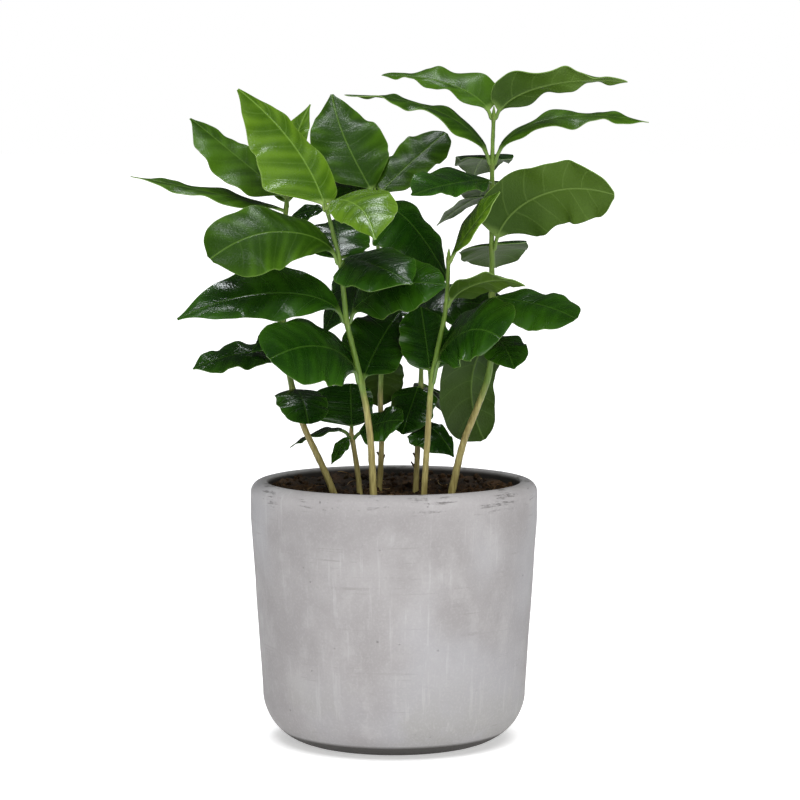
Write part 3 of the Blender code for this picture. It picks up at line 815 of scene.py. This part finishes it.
def make_soil(material):
    """A round plug of soil: its top is inset ring by ring, then raised into clods."""
    deselect()
    edge = pot_inner_radius(SOIL_LEVEL) - 0.4
    depth = 40.0
    bpy.ops.mesh.primitive_cylinder_add(
        vertices=120, radius=edge * MM, depth=depth * MM, location=(0, 0, (SOIL_LEVEL - depth / 2) * MM)
    )
    soil = bpy.context.object
    placed(soil)
    bpy.ops.object.mode_set(mode="EDIT")
    bpy.ops.mesh.select_all(action="DESELECT")
    bpy.ops.mesh.select_mode(type="FACE")
    mesh = bmesh.from_edit_mesh(soil.data)
    for face in mesh.faces:
        face.select_set(face.normal.z > 0.9)
    bmesh.update_edit_mesh(soil.data)
    rings = 50
    for _ in range(rings - 1):
        bpy.ops.mesh.inset(thickness=edge / rings * MM, depth=0.0)
    bpy.ops.mesh.poke()
    bpy.ops.object.mode_set(mode="OBJECT")
    for vert in soil.data.vertices:
        x, y, z = vert.co / MM
        if z > SOIL_LEVEL - 1:
            vert.co.z = soil_top(x, y) * MM
        else:
            share = pot_inner_radius(SOIL_LEVEL - depth) / edge
            vert.co.x *= share * 0.99
            vert.co.y *= share * 0.99
    only(soil)
    bpy.ops.object.shade_smooth_by_angle(angle=math.radians(60))
    return shown_as(soil, "soil_bed", [material], "soil", "soil")


def joined(parts):
    deselect()
    for part in parts:
        part.select_set(True)
    bpy.context.view_layer.objects.active = parts[0]
    bpy.ops.object.join()
    return parts[0]


def make_crumbs(material):
    """Loose crumbs and clods on the soil: one rough lump, copied, turned and sized."""
    draw = random.Random(3)
    deselect()
    bpy.ops.mesh.primitive_ico_sphere_add(subdivisions=1, radius=MM)
    lump = bpy.context.object
    for vert in lump.data.vertices:
        vert.co *= 1.0 + 0.45 * noise.noise(vert.co * 900.0)
    copies = []
    for _ in range(CRUMBS):
        reach = 58.5 * math.sqrt(draw.random())
        angle = draw.uniform(0, math.tau)
        x, y = reach * math.cos(angle), reach * math.sin(angle)
        size = 0.5 + 1.9 * draw.random() ** 2.5
        copy = lump.copy()
        copy.data = lump.data.copy()
        bpy.context.scene.collection.objects.link(copy)
        turn = Matrix.Rotation(draw.uniform(0, math.tau), 3, Vector([draw.uniform(-1, 1) for _ in range(3)]).normalized())
        copy.matrix_world = (
            Matrix.Translation(Vector((x, y, soil_top(x, y) + size * 0.25)) * MM)
            @ turn.to_4x4()
            @ Matrix.Diagonal((size, size * draw.uniform(0.6, 1.0), size * draw.uniform(0.5, 0.9), 1.0))
        )
        copies.append(copy)
    bpy.data.objects.remove(lump)
    crumbs = joined(copies)
    placed(crumbs)
    return shown_as(crumbs, "soil_crumbs", [material], "soil")


def make_fibres(material):
    """Fine root and coir fibres that lie curled on the soil."""
    draw = random.Random(8)
    fibres = []
    for _ in range(FIBRES):
        reach, angle = 55 * math.sqrt(draw.random()), draw.uniform(0, math.tau)
        x, y = reach * math.cos(angle), reach * math.sin(angle)
        heading, curl = draw.uniform(0, math.tau), draw.uniform(-0.35, 0.35)
        deselect()
        bpy.ops.curve.primitive_nurbs_path_add()
        fibre = bpy.context.object
        length = draw.uniform(7, 20)
        points = fibre.data.splines[0].points
        points_wanted = 8
        points.add(points_wanted - len(points))
        for i, point in enumerate(points):
            hump = draw.uniform(0.1, 0.9)
            point.co = (x * MM, y * MM, (soil_top(x, y) + hump) * MM, 1.0)
            x += length / points_wanted * math.cos(heading)
            y += length / points_wanted * math.sin(heading)
            far = math.hypot(x, y) / 58
            x, y = (x / far, y / far) if far > 1 else (x, y)
            heading += curl + draw.uniform(-0.4, 0.4)
        fibre.data.splines[0].use_endpoint_u = True
        fibre.data.resolution_u = 2
        fibre.data.bevel_depth = draw.uniform(0.12, 0.3) * MM
        fibre.data.bevel_resolution = 0
        fibre.data.use_fill_caps = True
        only(fibre)
        bpy.ops.object.convert(target="MESH")
        fibres.append(fibre)
    made = joined(fibres)
    placed(made)
    return shown_as(made, "soil_fibres", [material], "soil")


# ---- Stems ----


def stem_foot(stem):
    first, second = np.array(stem.line[0], float), np.array(stem.line[1], float)
    lean = (second - first) / np.linalg.norm(second - first)
    return first - lean * STEM_ROOT_DEPTH, lean


def stem_point(stem, height):
    """A place on a stem's middle line: a smooth curve through its points, by height."""
    line = [np.array(point, float) for point in stem.line]
    line = [line[0] * 2 - line[1]] + line + [line[-1] * 2 - line[-2]]
    last = len(line) - 3
    i = max(1, min(last, next((k for k in range(1, last + 1) if line[k + 1][2] >= height), last)))
    before, start, end, after = line[i - 1 : i + 3]
    share = (height - start[2]) / (end[2] - start[2])
    leave = (end - before) * (end[2] - start[2]) / (end[2] - before[2])
    arrive = (after - start) * (end[2] - start[2]) / (after[2] - start[2])
    s2, s3 = share**2, share**3
    place = start * (2 * s3 - 3 * s2 + 1) + end * (3 * s2 - 2 * s3)
    place = place + leave * (s3 - 2 * s2 + share) + arrive * (s3 - s2)
    return np.array((place[0], place[1], height))


def stem_radius(stem, height):
    low, high = stem.line[0][2], stem.line[-1][2]
    share = min(1.0, max(0.0, (height - low) / (high - low)))
    radius = stem.foot_radius + (stem.top_radius - stem.foot_radius) * share
    return radius * (1 + NODE_SWELL * nearness(stem, height))


def nearness(stem, height):
    return max(math.exp(-(((height - node) / NODE_LENGTH) ** 2)) for node in stem.nodes)


def make_stem(name, material):
    stem = STEMS[name]
    low, high = stem.line[0][2], stem.line[-1][2]
    steps = round((high - low) / STEM_STEP)
    heights = [low + (high - low) * i / steps for i in range(steps + 1)]
    rings = [(stem_foot(stem)[0], stem.foot_radius)]
    rings += [(stem_point(stem, h), stem_radius(stem, h)) for h in heights]
    rise = rings[-1][0] - rings[-4][0]
    rise = rise / np.linalg.norm(rise)
    top = rings[-1][0]
    for share, size in ((0.25, 0.95), (0.5, 0.8), (0.75, 0.5), (0.92, 0.25), (1.0, 0.08)):
        rings.append((top + rise * BUD_LENGTH * share, stem.top_radius * size))
    piece = drawn_up(rings, STEM_SIDES)
    mesh = piece.data
    for vert in mesh.vertices:
        side = Vector(stem_point(stem, max(low, min(high, vert.co.z / MM)))) * MM
        out = vert.co - side
        out.z = 0.0
        vert.co += out * (0.12 * noise.noise(vert.co * 260.0) + 0.08 * noise.noise(vert.co * 900.0))
    count = len(mesh.vertices)
    heights = [vert.co.z / MM for vert in mesh.vertices]
    green = mesh.attributes.new("green", "FLOAT", "POINT")
    ring = mesh.attributes.new("ring", "FLOAT", "POINT")
    for i in range(count):
        green.data[i].value = (heights[i] - 150.0) / 45.0
        ring.data[i].value = max(0.0, nearness(stem, heights[i]) - 0.5)
    return shown_as(piece, name + "_grown", [material], "stem", name)


def make_stubs(material):
    """The dry brown stumps of fallen leaves at the feet of two thin stems."""
    noise.seed_set(5)
    stubs = []
    for name, height, toward, length in STUBS:
        stem = STEMS[name]
        middle = Vector(stem_point(stem, height))
        lean = Vector((0.7 * toward, -0.2, 1.0)).normalized()
        place = middle + Vector((toward * stem_radius(stem, height), -0.3, length * 0.3))
        deselect()
        bpy.ops.mesh.primitive_cone_add(
            vertices=8, radius1=0.8 * MM, radius2=0.35 * MM, depth=length * MM, location=place * MM
        )
        stub = bpy.context.object
        stub.rotation_euler = lean.to_track_quat("Z", "Y").to_euler()
        placed(stub)
        bpy.ops.object.mode_set(mode="EDIT")
        bpy.ops.mesh.select_all(action="SELECT")
        bpy.ops.mesh.subdivide(number_cuts=1)
        bpy.ops.object.mode_set(mode="OBJECT")
        for vert in stub.data.vertices:
            vert.co += Vector(noise.noise_vector(vert.co * 900.0)) * 0.18 * MM
        bpy.ops.object.shade_smooth_by_angle(angle=math.radians(50))
        stubs.append(stub)
    return shown_as(joined(stubs), "stem_stubs", [material], "stem")


# ---- Leaves ----


def smooth_outline(shape):
    """The widths of a blade's outline, rounded off between its points, at even shares of its length."""
    straight = np.interp(OUTLINE_SHARES, *zip(*OUTLINES[shape]))
    window = np.exp(-((np.arange(-30, 31) * 0.002 / 0.02) ** 2))
    return np.convolve(np.pad(straight, 30, mode="edge"), window / window.sum(), mode="valid")


OUTLINE_SHARES = np.linspace(-0.1, 1.1, 601)
OUTLINE_WIDTHS = {shape: smooth_outline(shape) for shape in OUTLINES}


def bow_of(leaf, share):
    lean = np.maximum(0.0, share) ** ARCH_LEAN
    return leaf.arch * 4 * lean * (1 - lean)


def unit(vector):
    return vector / np.linalg.norm(vector, axis=-1, keepdims=True)


def leaf_line(leaf, stem):
    """Where a leaf's stalk starts, its chord to the tip and its right hand."""
    reach = np.array(leaf.reach, float)
    heading = unit(reach * (1, 1, 0))
    middle = stem_point(stem, leaf.node)
    first = leaf.stalk / np.linalg.norm(reach)
    steep = abs(unit(reach * first + UP * bow_of(leaf, first))[2])
    foot = middle + heading * (stem_radius(stem, leaf.node) + STALK_GAP + STALK_RADIUS * steep)
    return foot, middle + reach - foot, np.cross(heading, UP)


def midrib(leaf, foot, chord, right, share):
    hang = leaf.droop * np.maximum(0.0, (share - DROOP_FROM) / (1 - DROOP_FROM)) ** 2
    aside = leaf.sweep * 4 * share * (1 - share)
    return foot + chord * share[..., None] + UP * (bow_of(leaf, share) - hang)[..., None] + right * aside[..., None]


def blade_grid(leaf, stem, draw):
    """The blade's middle surface as rows of points, with its thickness and measures at each."""
    foot, chord, right = leaf_line(leaf, stem)
    stalk = leaf.stalk / np.linalg.norm(chord)
    into_stem = -1.3 / np.linalg.norm(chord)
    shares = np.concatenate(
        (np.linspace(into_stem, stalk, STALK_ROWS, endpoint=False), stalk + (1 - stalk) * np.linspace(0, 1, LEAF_ROWS) ** 0.9)
    )
    halves = np.linspace(0, 1, LEAF_COLUMNS)
    across = np.concatenate((-halves[:0:-1] ** 1.25, halves**1.25))
    share, across = np.meshgrid(shares, across, indexing="ij")
    blade = (share - stalk) / (1 - stalk)
    on_blade = blade > 0
    inner = np.clip(blade, 0, 1)
    out = np.abs(across)

    place = midrib(leaf, foot, chord, right, share)
    ahead = unit(midrib(leaf, foot, chord, right, share + STEP) - midrib(leaf, foot, chord, right, share - STEP))
    side = unit(right - ahead * (ahead @ right)[..., None])
    face = np.cross(side, ahead)
    roll = np.radians(leaf.roll + leaf.twist * share)[..., None]
    side, face = side * np.cos(roll) + face * np.sin(roll), face * np.cos(roll) - side * np.sin(roll)

    ends = np.sin(np.pi * inner) ** 0.6
    phases = [draw.uniform(0, 1) for _ in range(6)]
    uneven = np.where(across > 0, phases[0], phases[1])
    notch = 1 + 0.018 * np.sin(math.tau * (4.7 * inner + uneven)) * ends
    half = np.maximum((1 + leaf.lop * np.sign(across)) * leaf.width / 2 * np.interp(blade, OUTLINE_SHARES, OUTLINE_WIDTHS[leaf.shape]) * notch, STALK_RADIUS * (1 - inner) * 0.9)
    lower = np.clip(-np.sign(leaf.roll) * across * 4, 0, 1)
    taper = 1 - lower * 0.7 * np.clip(1 - inner / BASE_TAPER, 0, 1) ** 1.5
    half = np.where(on_blade, np.maximum(half * taper, STALK_RADIUS * (1 - inner)), STALK_RADIUS)
    turns = WAVES * inner + 0.1 * leaf.node + np.where(across > 0, 0.35, 0.0)
    wave = leaf.wave * out**1.6 * np.sin(math.tau * turns) * ends
    wave += 0.2 * leaf.wave * out**2.5 * np.sin(math.tau * (6.3 * inner + uneven + 0.15 * np.sin(9 * inner))) * ends
    vein = VEINS * (inner - 0.14 * out**1.4) + np.where(across > 0, 0.3, 0.0)
    quilt = np.abs(np.sin(np.pi * vein)) * ends * out**0.5 * (1 - out**4)
    from_rib = out * half
    channel = np.exp(-((from_rib / 1.1) ** 2))
    fold = math.radians(leaf.fold)
    lift = half * (out * math.sin(fold) - 0.22 * out**2) + wave
    lift += (0.22 * quilt - 0.35 * channel * (1 - inner)) * ends
    lift = np.where(on_blade, lift, 0.0)
    points = place + side * (across * half * math.cos(fold))[..., None] + face * lift[..., None]
    flat = place + side * (across * STALK_RADIUS)[..., None]
    points = np.where(on_blade[..., None], points, flat)

    thick = BLADE_THICKNESS + (RIB_THICKNESS * (1 - 0.75 * inner) - BLADE_THICKNESS) * np.exp(-((from_rib / 0.8) ** 2))
    round_stalk = 2 * STALK_RADIUS * np.sqrt(np.clip(1 - out**2, 0.04, 1))
    into = np.clip(blade / 0.08, 0, 1)
    thick = np.where(on_blade, round_stalk * (1 - into) + np.maximum(thick, 0.3) * into, round_stalk)

    measures = {"across": across, "along": blade, "half": half, "vein": vein}
    return points, thick, measures


def make_leaf(name, materials):
    """The blade as a fine grid on its middle surface, thickened to both sides."""
    leaf = LEAVES[name]
    draw = random.Random(name)
    points, thick, measures = blade_grid(leaf, STEMS["stem_" + name.split("_")[1][0]], draw)
    rows, columns = thick.shape
    index = np.arange(rows * columns).reshape(rows, columns)
    faces = np.stack((index[:-1, :-1], index[:-1, 1:], index[1:, 1:], index[1:, :-1]), -1).reshape(-1, 4)
    mesh = bpy.data.meshes.new(name)
    mesh.from_pydata((points.reshape(-1, 3) * MM).tolist(), [], faces.tolist())
    for label, values in measures.items():
        attribute = mesh.attributes.new(label, "FLOAT", "POINT")
        attribute.data.foreach_set("value", values.reshape(-1).astype(np.float32))
    # Each blade's painted light and shade, partly its own tone, as one value on every point.
    shade_and_tone = mesh.attributes.new("shade_and_tone", "FLOAT", "POINT")
    shade_and_tone.data.foreach_set("value", np.full(rows * columns, SHADE_AND_TONE.get(name, draw.uniform(-0.08, 0.08)), np.float32))
    piece = bpy.data.objects.new(name + "_blade", mesh)
    bpy.context.scene.collection.objects.link(piece)
    thickest = float(thick.max())
    group = piece.vertex_groups.new(name="thickness")
    for i, weight in enumerate(thick.reshape(-1) / thickest):
        group.add([i], float(weight), "REPLACE")
    solidify = piece.modifiers.new("thickness", "SOLIDIFY")
    solidify.thickness = thickest * MM
    solidify.offset = 0.0
    solidify.vertex_group = group.name
    solidify.thickness_vertex_group = 0.0
    solidify.material_offset = 1
    solidify.material_offset_rim = 2
    shown_as(piece, name + "_blade", materials, "leaf_" + leaf.tone, name)
    apply_modifiers(piece)
    piece.vertex_groups.clear()
    bpy.ops.object.shade_smooth_by_angle(angle=math.radians(60))
    return piece


# ---- Stage ----


def make_camera():
    data = bpy.data.cameras.new("camera")
    data.lens = CAMERA_LENS
    data.sensor_width = 36.0
    camera = bpy.data.objects.new("camera", data)
    camera.location = CAMERA_PLACE
    camera.rotation_euler = (math.radians(90.0 - CAMERA_DOWN), 0.0, 0.0)
    bpy.context.scene.collection.objects.link(camera)
    bpy.context.scene.camera = camera


def make_floor(material):
    deselect()
    bpy.ops.mesh.primitive_circle_add(vertices=96, radius=40.0, fill_type="NGON")
    floor = bpy.context.object
    floor.name = "floor"
    floor.data.materials.append(material)


def make_lamp(name, place, size, power, reflected, colour=(1.0, 1.0, 1.0)):
    """A soft rectangular lamp aimed at the foliage, with or without its image in glossy surfaces."""
    data = bpy.data.lights.new(name, "AREA")
    data.shape = "RECTANGLE"
    data.size, data.size_y = size
    data.energy = power
    data.color = colour
    lamp = bpy.data.objects.new(name, data)
    lamp.location = place
    aim = Vector((0.0, 0.0, 0.2)) - Vector(place)
    lamp.rotation_euler = aim.to_track_quat("-Z", "Y").to_euler()
    lamp.visible_glossy = reflected
    bpy.context.scene.collection.objects.link(lamp)


def make_sky():
    """A white backdrop for the camera, a plain room for the light and a darker one for reflections."""
    world = bpy.data.worlds.new("studio")
    world.use_nodes = True
    tree = world.node_tree
    shown = tree.nodes["Background"]
    path = tree.nodes.new("ShaderNodeLightPath")
    rooms = {"Is Glossy Ray": REFLECTED_LIGHT, "Is Camera Ray": BACKDROP_LIGHT}
    shown.inputs["Color"].default_value = (0.98, 0.99, 1.0, 1.0)
    shown.inputs["Strength"].default_value = ROOM_LIGHT
    for ray, strength in rooms.items():
        room = tree.nodes.new("ShaderNodeBackground")
        room.inputs["Color"].default_value = (1.0, 1.0, 1.0, 1.0)
        room.inputs["Strength"].default_value = strength
        mix = tree.nodes.new("ShaderNodeMixShader")
        tree.links.new(path.outputs[ray], mix.inputs["Fac"])
        tree.links.new(shown.outputs[0], mix.inputs[1])
        tree.links.new(room.outputs[0], mix.inputs[2])
        shown = mix
    tree.links.new(shown.outputs[0], tree.nodes["World Output"].inputs["Surface"])
    bpy.context.scene.world = world


def make_light():
    make_sky()
    sun = bpy.data.lights.new("high_sun", "SUN")
    sun.energy = 2.6
    sun.angle = math.radians(50)
    lamp = bpy.data.objects.new("high_sun", sun)
    lamp.rotation_euler = Vector((-0.05, 0.42, -1.0)).to_track_quat("-Z", "Y").to_euler()
    lamp.visible_glossy = False
    bpy.context.scene.collection.objects.link(lamp)
    make_lamp("overhead_lamp", (-0.1, 0.28, 1.42), (0.34, 0.12), 3.6, True, (0.93, 0.97, 1.0))
    make_lamp("glint_lamp", (-0.25, -0.9, 1.05), (0.12, 0.06), 1.4, True, (0.93, 0.97, 1.0))
    make_lamp("front_lamp", (0.42, -1.9, 0.5), (0.8, 0.5), 12.0, False, (1.0, 0.99, 0.95))


def main():
    scene = bpy.context.scene
    scene.view_settings.view_transform = "Standard"
    make_camera()
    make_light()
    make_floor(floor_paper())
    make_pot(concrete())
    soil = earth()
    make_soil(soil)
    make_crumbs(soil)
    make_fibres(root_fibre())
    skin = bark()
    make_stubs(dry_stub())
    for name in STEMS:
        make_stem(name, skin)
    leaf_materials = {tone: [leaf_upper(tone), leaf_under(tone), leaf_margin(tone)] for tone in LEAF_GREENS}
    for name, leaf in LEAVES.items():
        make_leaf(name, leaf_materials[leaf.tone])


main()
